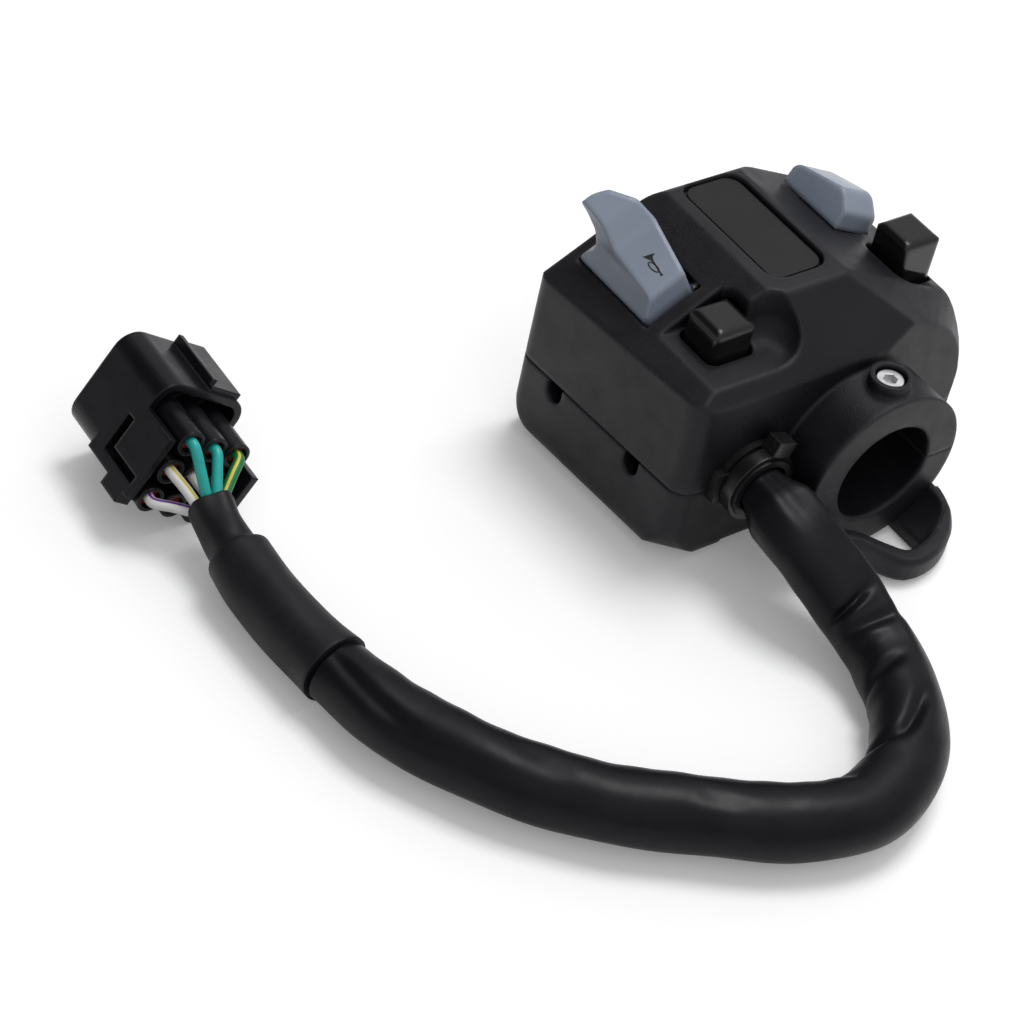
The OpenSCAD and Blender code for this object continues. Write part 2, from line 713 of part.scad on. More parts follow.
module turn_slider() {
    color("#7d8287") {
        on_right_slope() translate([turn_x, 0, 0]) {
            intersection() {
                along_y(-turn_w / 2, turn_w / 2) polygon(rounded([
                    [-turn_tail, 0.3, 0], [-turn_tail, 4.8, 2], [turn_nose - 4, 7.4, 2.4],
                    [turn_nose - 0.4, 4, 2], [turn_nose, 0.3, 0]]));
                along_x(-turn_len, turn_len) polygon(rounded([
                    [-turn_w / 2, 0, 0], [turn_w / 2, 0, 0], [turn_w / 2 - 0.8, 8, 2.2],
                    [-turn_w / 2 + 0.8, 8, 2.2]]));
            }
            translate([-turn_neck.x / 2, -turn_neck.y / 2, -wall - 0.7])
                cube([turn_neck.x, turn_neck.y, wall + 1.2]);
            translate([-turn_flange.x / 2, -turn_flange.y / 2, -wall - 2])
                cube([turn_flange.x, turn_flange.y, 1.5]);
        }
        difference() {
            translate([turn_x - 3, turn_y - 0.6, plate_top + 0.5])
                cube([6, 5, right_z(turn_y + 4.4) - plate_top - 3.4]);
            translate([turn_x, turn_y + 1.9, plate_top - 1]) cylinder(r = 1.6, h = 8);
        }
    }
}

module turn_detent_ball() {
    color("#b9bcc0") translate([turn_x, turn_y + 1.9, plate_top + 1.35]) sphere(r = 1.3);
}

module turn_detent_spring() {
    color("#a8abb0") translate([turn_x, turn_y + 1.9, plate_top + 2.75]) coil(2.8, 0.45, 4, 3.2);
}

module turn_contact() {
    color("#c59a4a") translate([turn_x - 3, turn_y + 4.4, plate_top + 0.4]) cube([6, 0.6, 5]);
}

module right_button() {
    translate([right_btn.x, right_btn.y, 0]) push_button(right_floor, right_top, "#161618");
}

module right_button_spring() {
    color("#a8abb0") translate([right_btn.x, right_btn.y, plate_top])
        coil(6, 0.7, 6, flange_z(right_floor) - plate_top);
}

module right_button_contact() {
    color("#c59a4a") translate([right_btn.x, right_btn.y, 0]) difference() {
        translate([-4.4, -4.4, flange_z(right_floor) - 0.6]) cube([8.8, 8.8, 0.6]);
        cylinder(r = 3.4, h = 40);
    }
}

module right_switch_plate() {
    color("#2b3a33") difference() {
        translate([0, 0, plate_z]) linear_extrude(plate_t) polygon(rounded([
            [x_near - wall - 0.8, bar_r + tunnel_wall + 0.6, 1],
            [x_near - wall - 0.8, right_reach - wall - 0.8, 7.5],
            [x_far + wall + 1.4, right_reach - wall - 0.8, 7],
            [x_far + wall + 1.4, bar_r + tunnel_wall + 0.6, 1]]));
        posts(right_posts, plate_z - 1, plate_top + 1, screw_r + screw_clear);
        translate([right_btn.x, right_btn.y, plate_z - 1]) cylinder(r = guide_r + 0.08, h = plate_t + 2);
    }
}

module right_terminals() {
    color("#c59a4a") for (i = [0 : 2])
        translate([x_near - 22 - 5 * i, 15.4, plate_z - pin_len]) cube([1.2, 1.2, pin_len]);
}

// Leads inside the case, from the sleeve's end to the terminals
module inner_leads() {
    x0 = lead_in + 0.2;
    low = floor_z + wall + lead_wire_r + 0.6;
    pin_z = plate_z - pin_len;
    color("#2a2a2c") {
        tube([[x0, exit_y - 2, exit_z - 2], [x0 - 2.6, exit_y - 1.6, exit_z - 2.6],
            [x_near - 14.4, -19, -2], [x_near - 12.4, -17.6, pin_z]], lead_wire_r, 5, 8, [0.1, 1, 0.1]);
        tube([[x0, exit_y + 2, exit_z - 2], [x0 - 2.6, exit_y + 3, exit_z - 3], [x_near - 8.6, -19, -1.6],
            [x_near - 7.4, -17.6, pin_z]], lead_wire_r, 5, 8, [0.1, 1, 0.1]);
        tube([[x0, exit_y, exit_z - 3], [x0 - 2.8, exit_y + 0.2, exit_z - 3.2],
            [x0 - 7, exit_y + 5, low + 4], [x0 - 11, -12, low], [x0 - 15, 4, low],
            [x0 - 18, 14.6, low + 3], [x_near - 21.4, 16, pin_z]],
            lead_wire_r, 5, 8, [1, 0.05, 0.05]);
    }
}

// Hook that comes down in front of the collar and keeps a control cable on the bar
module cable_guide() {
    steps = 4;
    color("#1c1c1e") {
        strap(spline(hook_route, steps), along(hook_t, steps), along(hook_h, steps));
        difference() {
            translate([0, 0, floor_z + 0.4]) linear_extrude(9)
                polygon([[x_near, 8.6], [9.6, 8.6], [8.4, 12], [5.8, 15], [2.6, 16.5], [x_near, 16.5]]);
            translate([-40, 0, 0]) rotate([0, 90, 0]) cylinder(r = collar_r + 0.05, h = 60, $fn = 96);
        }
    }
}

// Grommet that the two cases clamp round the lead, with a lug on its outer flange
module lead_grommet() {
    color("#161617") translate([0, exit_y, exit_z]) difference() {
        union() {
            translate([x_near - wall, 0, 0]) rotate([0, 90, 0])
                cylinder(r = grommet_r, h = wall + grommet_len);
            translate([x_near + 0.05, 0, 0]) rotate([0, 90, 0]) cylinder(r = grommet_r + 1, h = grommet_lip);
            translate([x_near + 0.05, -grommet_r - 2.2, -3]) cube([2, 4, 6.4]);
            intersection() {
                translate([x_near - wall - grommet_lip, 0, 0]) rotate([0, 90, 0]) {
                    cylinder(r = grommet_r + 1.3, h = grommet_lip - 0.05);
                    cylinder(r = grommet_r, h = grommet_lip + 1);
                }
                translate([-40, -20, -20]) cube([80, 40, 20 + plate_z - exit_z - 0.5]);
            }
        }
        translate([x_near - 20, 0, 0]) rotate([0, 90, 0]) cylinder(r = grommet_bore, h = 40);
    }
}

module cable_tie() {
    color("#111112") translate([tie_x, exit_y, exit_z]) {
        rotate([0, 90, 0]) difference() {
            cylinder(r = grommet_r + tie_t, h = tie_w);
            translate([0, 0, -1]) cylinder(r = grommet_r + 0.02, h = tie_w + 2);
        }
        rotate([-20, 0, 0]) translate([-0.4, -2.3, grommet_r + 0.6]) cube([tie_w + 0.8, 4.6, 3.4]);
    }
}

module cable_sleeve() {
    color("#18181a") sweep(spline(lead_route, 3), along(lead_r, 3), 12);
}

module heat_shrink() {
    color("#1f1f21") sweep(spline(shrink_route, 2), along(shrink_r, 2), 12);
}

// Connector: place(p) turns the connector's own coordinates into the shared frame
module at_connector() {
    translate(conn_at) rotate([conn_roll, 0, conn_yaw]) children();
}

function place(p) =
    let (y = p.y * cos(conn_roll) - p.z * sin(conn_roll), z = p.y * sin(conn_roll) + p.z * cos(conn_roll))
    conn_at + [p.x * cos(conn_yaw) - y * sin(conn_yaw), p.x * sin(conn_yaw) + y * cos(conn_yaw), z];

module towers(r, a0, a1) {
    for (c = row_c, i = [-1, 0, 1])
        translate([a0, i * tower_pitch, c]) rotate([0, 90, 0]) cylinder(r = r, h = a1 - a0);
}

module connector_housing() {
    inner = box_outline(conn_w - 2 * conn_wall, conn_h - 2 * conn_wall, conn_corner - conn_wall);
    side = conn_w / 2;
    top = conn_h / 2;
    color("#151517") at_connector() difference() {
        union() {
            difference() {
                along_x(0, hood_len) polygon(box_outline(conn_w, conn_h, conn_corner));
                along_x(-1, conn_web[0]) polygon(inner);
                along_x(conn_web[1], hood_len + 1) polygon(inner);
            }
            towers(tower_r, conn_web[0], tower_len);
            translate([conn_web[0], -side, 0.8 - top]) cube([plate_back - conn_web[0], conn_wall, top + 3.4]);
            translate([conn_web[0], side - conn_wall, -7])
                cube([plate_back + 3.6 - conn_web[0], conn_wall, 10]);
            translate([plate_back - 7.6, -side, -1.6 - top]) cube([5.6, 3.4, 3]);
            translate([0.6, 0.6, top - 0.6]) cube([hood_len - 1.4, side - 3.4, 1.6]);
            translate([0.6, 0.6, top - 0.6]) cube([hood_len - 2.4, 1.2, 2.6]);
        }
        towers(tower_bore, conn_web[1] + 1, tower_len + 1);
        translate([plate_back - 12, -side - 1, -7.8]) cube([2, conn_wall + 1.2, 8.5]);
        translate([plate_back - 12, -side - 1, -7.8]) cube([10.6, conn_wall + 1.2, 1.9]);
    }
}

module connector_pins() {
    color("#c9b27a") at_connector() for (c = row_c, i = [-1, 0, 1])
        translate([mouth_clear, i * tower_pitch - 1, c - 0.4]) cube([conn_web[0] - mouth_clear, 2, 0.8]);
}

module wire_seals() {
    color("#7a1f1c") at_connector() for (c = row_c, i = [-1, 0, 1])
        translate([conn_web[1] + 1, i * tower_pitch, c]) rotate([0, 90, 0])
            cylinder(r = tower_bore - 0.02, h = tower_len - conn_web[1] - 2.4);
}

function wire_path(i, row, dy, dz) =
    let (y = i * tower_pitch, c = row_c[row], root = wire_root + [0, dy, dz])
    let (tip = place([tower_len - 1.4, y, c]), out = place([tower_len + 1, y * 0.98, c]))
    [tip, out, (out + root) / 2 + [0, 0, 0.2], root, root + [1.2, 0, -0.3]];

module wires_teal() {
    color("#1f9a8e") {
        tube(wire_path(-1, 0, -1.1, 2.5), wire_r, 4);
        tube(wire_path(0, 0, 1.2, 2.5), wire_r, 4);
    }
}

module wire_green() {
    color("#3f9a3a") tube(wire_path(1, 0, 3, 1), wire_r, 4);
}

module wires_white() {
    color("#e4e2da") {
        tube(wire_path(-1, 1, -3, 1.1), wire_r, 4);
        tube(wire_path(0, 1, 0.3, 0.2), wire_r, 4);
        tube(wire_path(-1, 2, -2.6, -1.4), wire_r, 4);
    }
}

upper_case();
lower_case();
centre_panel();
locking_screw();
case_screws();
horn_button();
horn_pin();
horn_spring();
horn_contact();
horn_base();
left_button();
left_button_spring();
left_button_contact();
left_switch_plate();
left_terminals();
turn_slider();
turn_contact();
turn_detent_spring();
turn_detent_ball();
right_button();
right_button_spring();
right_button_contact();
right_switch_plate();
right_terminals();
inner_leads();
cable_guide();
lead_grommet();
cable_tie();
cable_sleeve();
heat_shrink();
wires_teal();
wire_green();
wires_white();
connector_housing();
connector_pins();
wire_seals();
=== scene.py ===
"""Looks of the handlebar switch cluster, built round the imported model. Metres, in the model's frame."""
import json
import math

import bmesh
import bpy
from mathutils import Matrix, Vector


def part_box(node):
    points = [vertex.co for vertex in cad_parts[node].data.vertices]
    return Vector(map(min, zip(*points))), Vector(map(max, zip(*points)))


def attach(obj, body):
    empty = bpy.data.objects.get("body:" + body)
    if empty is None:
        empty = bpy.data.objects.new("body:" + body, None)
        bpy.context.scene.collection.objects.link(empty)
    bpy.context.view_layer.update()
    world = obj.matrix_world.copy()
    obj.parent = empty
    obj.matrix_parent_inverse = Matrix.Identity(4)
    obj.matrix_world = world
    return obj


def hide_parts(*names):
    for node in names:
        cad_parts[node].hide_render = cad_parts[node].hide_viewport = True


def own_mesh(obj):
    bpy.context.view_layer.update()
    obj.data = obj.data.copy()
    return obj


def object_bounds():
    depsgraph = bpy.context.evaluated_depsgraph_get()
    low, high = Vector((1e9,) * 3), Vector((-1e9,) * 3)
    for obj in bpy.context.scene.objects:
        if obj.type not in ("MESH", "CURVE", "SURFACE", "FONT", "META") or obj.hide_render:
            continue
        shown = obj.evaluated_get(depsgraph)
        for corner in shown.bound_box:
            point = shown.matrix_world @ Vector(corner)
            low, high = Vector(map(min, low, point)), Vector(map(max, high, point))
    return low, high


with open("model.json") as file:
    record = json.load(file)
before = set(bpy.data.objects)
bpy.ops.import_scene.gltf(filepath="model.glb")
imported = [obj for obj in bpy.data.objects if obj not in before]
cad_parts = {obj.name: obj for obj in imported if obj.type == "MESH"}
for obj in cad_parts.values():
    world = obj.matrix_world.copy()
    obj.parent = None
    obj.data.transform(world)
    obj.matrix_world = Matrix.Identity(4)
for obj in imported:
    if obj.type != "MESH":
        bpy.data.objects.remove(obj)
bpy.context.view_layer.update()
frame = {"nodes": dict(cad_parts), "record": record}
nodes = frame["nodes"]
MM = 0.001
UPRIGHT = Vector((0, 0, 1))

# Camera: its place, its backward and rightward directions, and its lens and sensor in millimetres
CAMERA_AT = Vector((0.2714, -0.3523, 0.3683))
CAMERA_BACK = Vector((0.5357, -0.5108, 0.6724))
CAMERA_RIGHT = Vector((0.5643, 0.8089, 0.1649))
CAMERA_LENS = 105.7
SENSOR = 36

# Height of the surface that the cluster lies on
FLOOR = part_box("lower_case")[0].z

# Lead: the sleeve's route and radii, then the heat-shrink's, as in the part's source
SLEEVE_R = 6.9 * MM
NECK_R = 5.0 * MM
LEAD_Z = FLOOR + SLEEVE_R + 0.1 * MM
LEAD_ROUTE = [
    (-0.0134, -0.026, 0.0012), (-0.008, -0.026, 0.0012), (-0.002, -0.026, 0.0006),
    (0.006, -0.0254, -0.0014), (0.014, -0.0232, -0.0056), (0.022, -0.0216, -0.0098),
    (0.032, -0.022, LEAD_Z), (0.045, -0.028, LEAD_Z), (0.054, -0.037, LEAD_Z),
    (0.058, -0.049, LEAD_Z), (0.055, -0.062, LEAD_Z), (0.047, -0.075, LEAD_Z),
    (0.035, -0.091, LEAD_Z), (0.021, -0.103, LEAD_Z), (0.004, -0.112, LEAD_Z),
    (-0.0115, -0.1158, LEAD_Z)]
SHRINK_ROUTE = [
    (-0.0115, -0.1158, LEAD_Z), (-0.022, -0.117, LEAD_Z), (-0.034, -0.1175, LEAD_Z + 0.0002),
    (-0.0415, -0.1173, LEAD_Z + 0.0008), (-0.0445, -0.1172, LEAD_Z + 0.0013),
    (-0.050, -0.1168, LEAD_Z + 0.0024), (-0.054, -0.1164, LEAD_Z + 0.0036)]
SHRINK_R = [6.7 * MM, 6.6 * MM, 6.4 * MM, 6.2 * MM, 4.7 * MM, 4.4 * MM, 4.5 * MM]

# Wires: their radius, the sides of their mesh, and which of those carry a stripe
WIRE_R = 1.05 * MM
WIRE_SIDES = 24
STRIPE_SIDES = (5, 6)

# Sleeve: its mesh, the end of its neck, where it is full and oval, and the tuck at its far end
SLEEVE_STEPS = 24
SLEEVE_SIDES = 84
NECK_END = 8 * MM
FULL_AT = 14.5 * MM
OVAL_AT = 16 * MM
OVAL = 0.045
TUCK_RUN = 12 * MM
TUCK_DEPTH = 0.8 * MM

# Folds along the sleeve's first run, each with its angle, its width in radians and its height in
# millimetres, then the gathers at the neck and the waves all over
FOLDS = [(2.1, 0.22, 0.9), (1.3, 0.5, -0.6), (2.9, 0.4, -0.6)]
GATHERS = 7
GATHER_DEPTH = 0.3 * MM
WAVE_DEPTH = 0.1 * MM

# Creases of the sleeve, each a line from one place to another with its depth and half width, in
# millimetres. A place is the run along the lead and the angle round it, 0 inside the bend and 1.57 on top.
# Beyond its reach a crease is nothing, and its lip is a share of its depth.
CREASES = [
    ((34.0, 1.8), (36.8, 0.1), 1.2, 1.1), ((42.4, 2.3), (41.0, 0.4), 0.9, 1.4),
    ((52.0, 1.6), (58.0, -0.3), 1.2, 1.3), ((60.5, 1.9), (73.5, 1.1), 1.3, 1.4),
    ((70.0, 1.3), (80.5, -0.2), 1.4, 1.6), ((88.0, 1.0), (93.0, 0.2), 0.5, 1.8),
    ((112.0, 2.0), (122.0, 1.6), 0.35, 2.2), ((142.0, 1.9), (154.0, 1.3), 0.35, 2.4),
    ((168.0, 2.4), (191.0, 1.9), 0.7, 1.5)]
CREASE_REACH = 12
CREASE_LIP = 0.25

# Connector: place of its mating mouth, its lie, and the wire towers
CONN_AT = Vector((-85.6, -114, -5.4)) * MM
CONN_ROLL = math.radians(-33)
CONN_YAW = math.radians(-2.6)
TOWER_PITCH = 6 * MM
TOWER_LEN = 25.4 * MM
TOWER_ROWS = [4.6 * MM, -2.1 * MM, -8.8 * MM]
CONN_FRAME = (Matrix.Translation(CONN_AT) @ Matrix.Rotation(CONN_YAW, 4, "Z")
              @ Matrix.Rotation(CONN_ROLL, 4, "X"))

# Horn rocker: its slope, the flat face that carries the pictogram, and the print's lift in millimetres
HORN_SLOPE = math.atan2(13.3, 23.1)
HORN_ROOT = Vector((-35.4, -33, 26.0273)) * MM
HORN_RISE = 4.2 * MM
FACE_TILT = math.atan2(2.4, 11.77)
STROKE_LIFT = 0.03
BELL_LIFT = 0.035

# Springs copied from the model: each one's joint, the way that it stands, and the share of its length left
SQUARE_TO_SLOPE = Matrix.Rotation(HORN_SLOPE, 3, "X") @ UPRIGHT
SPRINGS = [
    ("horn_spring", "horn_rock", SQUARE_TO_SLOPE, 0.64),
    ("left_button_spring", "left_push", UPRIGHT, 0.83),
    ("right_button_spring", "right_push", UPRIGHT, 0.8)]

# Floor: its tone as seen, its tone for the light it throws back, its glow where seen, half of its
# side, and its gap below the part
FLOOR_WHITE = (0.97, 0.97, 0.97)
FLOOR_BOUNCE = (0.3, 0.3, 0.3)
FLOOR_LIFT = 0.16
FLOOR_HALF = 8
FLOOR_GAP = 0.01 * MM

# Light tent: tones of its walls, top and dim side. The last two fade in towards a direction, from one
# cosine to another.
TENT_SIDE = (0.45, 0.45, 0.456)
TENT_TOP = (0.8, 0.8, 0.81)
TENT_DIM = (0.03, 0.03, 0.033)
DIM_SIDE = Vector((-0.5, -0.5, 0.7)).normalized()
TENT_TONES = [(UPRIGHT, 0.1, TENT_TOP), (DIM_SIDE, 0.65, TENT_DIM)]
FADE_END = 0.97

# Key lamp: its place, what it points at, its side and its power
KEY_AT = Vector((-0.12, 0.2, 0.85))
KEY_AIM = Vector((-0.01, -0.05, 0))
KEY_SIDE = 0.36
KEY_POWER = 3.8


# Camera

def add(name, data):
    obj = bpy.data.objects.new(name, data)
    bpy.context.scene.collection.objects.link(obj)
    return obj


def make_camera():
    data = bpy.data.cameras.new("camera")
    data.lens = CAMERA_LENS
    data.sensor_width = SENSOR
    data.clip_start = 0.01
    up = CAMERA_BACK.cross(CAMERA_RIGHT)
    turn = Matrix((CAMERA_RIGHT, up, CAMERA_BACK)).transposed().to_4x4()
    obj = add("camera", data)
    obj.matrix_world = Matrix.Translation(CAMERA_AT) @ turn
    bpy.context.scene.camera = obj


make_camera()


# Node helpers for the materials

def new_material(name):
    mat = bpy.data.materials.new(name)
    mat.use_nodes = True
    tree = mat.node_tree
    tree.nodes.clear()
    out = tree.nodes.new("ShaderNodeOutputMaterial")
    shader = tree.nodes.new("ShaderNodeBsdfPrincipled")
    tree.links.new(shader.outputs[0], out.inputs["Surface"])
    return mat, tree, shader


def noise(tree, scale, detail=2.0, rough=0.5, stretch=None):
    place = tree.nodes.new("ShaderNodeTexCoord")
    tex = tree.nodes.new("ShaderNodeTexNoise")
    tex.inputs["Scale"].default_value = scale
    tex.inputs["Detail"].default_value = detail
    tex.inputs["Roughness"].default_value = rough
    source = place.outputs["Object"]
    if stretch:
        mapping = tree.nodes.new("ShaderNodeMapping")
        mapping.inputs["Scale"].default_value = stretch
        tree.links.new(source, mapping.inputs["Vector"])
        source = mapping.outputs["Vector"]
    tree.links.new(source, tex.inputs["Vector"])
    return tex.outputs["Fac"]


def spread(tree, value, low, high):
    """Maps the middle of a noise to a range of plain numbers."""
    node = tree.nodes.new("ShaderNodeMapRange")
    node.inputs["From Min"].default_value = 0.3
    node.inputs["From Max"].default_value = 0.7
    node.inputs["To Min"].default_value = low
    node.inputs["To Max"].default_value = high
    tree.links.new(value, node.inputs["Value"])
    return node.outputs["Result"]


def mix(tree, factor, first, second):
    """Mixes two colours, each a tuple or another node's output."""
    node = tree.nodes.new("ShaderNodeMix")
    node.data_type = "RGBA"
    tree.links.new(factor, node.inputs["Factor"])
    for socket, value in ((node.inputs[6], first), (node.inputs[7], second)):
        if isinstance(value, tuple):
            socket.default_value = (*value, 1)
        else:
            tree.links.new(value, socket)
    return node.outputs[2]


def edge_mask(tree, radius):
    """A rounded normal, and a mask that is 1 on edges and 0 on flats."""
    flat = 0.985
    sharp = 0.85
    bevel = tree.nodes.new("ShaderNodeBevel")
    bevel.samples = 6
    bevel.inputs["Radius"].default_value = radius
    geometry = tree.nodes.new("ShaderNodeNewGeometry")
    dot = tree.nodes.new("ShaderNodeVectorMath")
    dot.operation = "DOT_PRODUCT"
    tree.links.new(bevel.outputs[0], dot.inputs[0])
    tree.links.new(geometry.outputs["Normal"], dot.inputs[1])
    fall = tree.nodes.new("ShaderNodeMapRange")
    fall.inputs["From Min"].default_value = flat
    fall.inputs["From Max"].default_value = sharp
    tree.links.new(dot.outputs["Value"], fall.inputs["Value"])
    return bevel.outputs[0], fall.outputs["Result"]


def bump(tree, height, depth, strength, normal=None):
    node = tree.nodes.new("ShaderNodeBump")
    node.inputs["Strength"].default_value = strength
    node.inputs["Distance"].default_value = depth
    tree.links.new(height, node.inputs["Height"])
    if normal is not None:
        tree.links.new(normal, node.inputs["Normal"])
    return node.outputs[0]


def moulded(name, colour, rough, grain=0.0002, grain_depth=0.00003, edge_wear_and_sheen=0.35, edge=0.0005,
            tint=0.16, gleam=0.5):
    """Moulded plastic or rubber: fine grain, slow colour drift, uneven gloss, and edges painted lighter,
    partly as rubbing wear and partly as a painted highlight.
    """
    mat, tree, shader = new_material(name)
    rounded, edges = edge_mask(tree, edge)
    drift = spread(tree, noise(tree, 60, 4), 0, 1)
    dark = tuple(c * (1 - tint) for c in colour)
    light = tuple(min(1, c * (1 + tint) + 0.002) for c in colour)
    # Lighter edge colour: partly rubbing wear, partly a painted highlight where the rounded edges catch the
    # light.
    worn_and_lit_edge = tuple(min(1, c * (1 + edge_wear_and_sheen) + 0.02 * edge_wear_and_sheen) for c in colour)
    base = mix(tree, drift, dark, light)
    base = mix(tree, edges, base, worn_and_lit_edge)
    tree.links.new(base, shader.inputs["Base Color"])
    gloss = spread(tree, noise(tree, 220, 3), rough - 0.06, rough + 0.06)
    tree.links.new(gloss, shader.inputs["Roughness"])
    fine = noise(tree, 1 / grain, 1)
    tree.links.new(bump(tree, fine, grain_depth, 0.5, rounded), shader.inputs["Normal"])
    shader.inputs["Specular IOR Level"].default_value = gleam
    return mat


def metal(name, colour, rough, stretch=(1, 1, 1), grain=0.0003, edge=0.0002):
    """Bare or plated metal with fine drawn or turned marks."""
    mat, tree, shader = new_material(name)
    rounded, edges = edge_mask(tree, edge)
    marks = noise(tree, 1 / grain, 3, stretch=stretch)
    dark = tuple(c * 0.82 for c in colour)
    base = mix(tree, spread(tree, marks, 0, 1), dark, colour)
    bright = tuple(min(1, c * 1.12) for c in colour)
    tree.links.new(mix(tree, edges, base, bright), shader.inputs["Base Color"])
    gloss = spread(tree, noise(tree, 500, 3), rough - 0.05, rough + 0.08)
    tree.links.new(gloss, shader.inputs["Roughness"])
    tree.links.new(bump(tree, marks, 0.00001, 0.4, rounded), shader.inputs["Normal"])
    shader.inputs["Metallic"].default_value = 1
    return mat


def insulation(name, colour, rough=0.38):
    """Extruded wire insulation: smooth, with faint draw lines and a little colour drift."""
    mat, tree, shader = new_material(name)
    drift = spread(tree, noise(tree, 400, 3), 0, 1)
    dark = tuple(c * 0.86 for c in colour)
    tree.links.new(mix(tree, drift, dark, colour), shader.inputs["Base Color"])
    gloss = spread(tree, noise(tree, 900, 2), rough - 0.05, rough + 0.07)
    tree.links.new(gloss, shader.inputs["Roughness"])
    fine = noise(tree, 2500, 2)
    tree.links.new(bump(tree, fine, 0.00001, 0.3), shader.inputs["Normal"])
    return mat


def vinyl(name, colour, rough, dust=0.25, gleam=0.5):
    """Soft vinyl or heat-shrink: satin skin with faint ripples, scuffs and dust."""
    mat, tree, shader = new_material(name)
    scuffs = spread(tree, noise(tree, 90, 6, 0.65), 0, 1)
    dusty = tuple(c + 0.012 * dust for c in colour)
    dark = tuple(c * 0.8 for c in colour)
    tree.links.new(mix(tree, scuffs, dark, dusty), shader.inputs["Base Color"])
    gloss = spread(tree, noise(tree, 150, 5, 0.6), rough - 0.07, rough + 0.09)
    tree.links.new(gloss, shader.inputs["Roughness"])
    ripple = bump(tree, noise(tree, 260, 3), 0.00012, 0.35)
    fine = noise(tree, 3500, 2)
    tree.links.new(bump(tree, fine, 0.00002, 0.35, ripple), shader.inputs["Normal"])
    shader.inputs["Specular IOR Level"].default_value = gleam
    return mat


CASE = (0.0080, 0.0077, 0.0108)
MATERIALS = {
    "case_black": moulded("case_black", CASE, 0.43, grain_depth=0.00012, edge_wear_and_sheen=0.8, edge=0.0016, gleam=0.27),
    "panel_grey": moulded("panel_grey", (0.010, 0.0096, 0.0105), 0.4, grain=0.0003, edge_wear_and_sheen=0.5, edge=0.0005,
                          gleam=0.24),
    "button_grey": moulded("button_grey", (0.238, 0.274, 0.342), 0.3, grain=0.0008, grain_depth=0.00001,
                           edge_wear_and_sheen=0.25, edge=0.0014, tint=0.06),
    "button_black": moulded("button_black", (0.006, 0.006, 0.0065), 0.1, grain=0.0012, grain_depth=0.00001,
                            edge_wear_and_sheen=0.5, edge=0.0013, gleam=0.46),
    "screw_steel": metal("screw_steel", (0.78, 0.78, 0.79), 0.34),
    "spring_steel": metal("spring_steel", (0.5, 0.5, 0.52), 0.28),
    "contact_brass": metal("contact_brass", (0.72, 0.52, 0.24), 0.3, stretch=(1, 6, 1)),
    "switch_board": moulded("switch_board", (0.035, 0.06, 0.045), 0.5, edge_wear_and_sheen=0.3, edge=0.0003),
    "sleeve_black": vinyl("sleeve_black", (0.0056, 0.0056, 0.0082), 0.38, gleam=0.16),
    "shrink_black": vinyl("shrink_black", (0.0085, 0.0083, 0.0108), 0.48, dust=0.5, gleam=0.2),
    "lead_black": insulation("lead_black", (0.008, 0.008, 0.0085)),
    "wire_teal": insulation("wire_teal", (0.02, 0.48, 0.43)),
    "wire_green": insulation("wire_green", (0.02, 0.22, 0.06)),
    "wire_white": insulation("wire_white", (0.92, 0.91, 0.89)),
    "connector_black": moulded("connector_black", (0.0056, 0.0055, 0.0078), 0.3, grain=0.0006,
                               grain_depth=0.00002, edge_wear_and_sheen=0.6, edge=0.0006, gleam=0.22),
    "pin_tin": metal("pin_tin", (0.7, 0.67, 0.58), 0.3, stretch=(6, 1, 1)),
    "seal_red": moulded("seal_red", (0.3, 0.035, 0.03), 0.5, grain=0.0004, edge_wear_and_sheen=0.2, edge=0.0002),
    "tie_black": moulded("tie_black", (0.007, 0.007, 0.0075), 0.3, grain=0.0005, edge_wear_and_sheen=0.6, edge=0.0004),
}
STRIPE_YELLOW = insulation("stripe_yellow", (0.75, 0.6, 0.05))
STRIPE_PURPLE = insulation("stripe_purple", (0.22, 0.06, 0.4))
PRINT_DARK = insulation("print_dark", (0.006, 0.006, 0.008), 0.45)


def dress_cad_nodes():
    for part in frame["record"]["subparts"]:
        obj = nodes[part["node"]]
        material = MATERIALS[part["material_slot"]]
        if not obj.material_slots:
            obj.data.materials.append(material)
        for holder in obj.material_slots:
            holder.material = material


dress_cad_nodes()


# Tubes for the lead

def spline(points, steps):
    """Smooth curve through the points, with that many steps to a span."""
    pts = [Vector(p) for p in points]
    last = len(pts) - 1
    path = []
    for i in range(last):
        a, b, c, d = pts[max(i - 1, 0)], pts[i], pts[i + 1], pts[min(i + 2, last)]
        for j in range(steps):
            s = j / steps
            path.append(0.5 * (2 * b + (c - a) * s + (2 * a - 5 * b + 4 * c - d) * s * s
                               + (3 * b - a - 3 * c + d) * s ** 3))
    return path + [pts[last]]


def along(values, steps):
    """Values eased over the same spans as spline()."""
    out = []
    for a, b in zip(values, values[1:]):
        for j in range(steps):
            s = j / steps
            s = s * s * (3 - 2 * s)
            out.append(a + (b - a) * s)
    return out + [values[-1]]


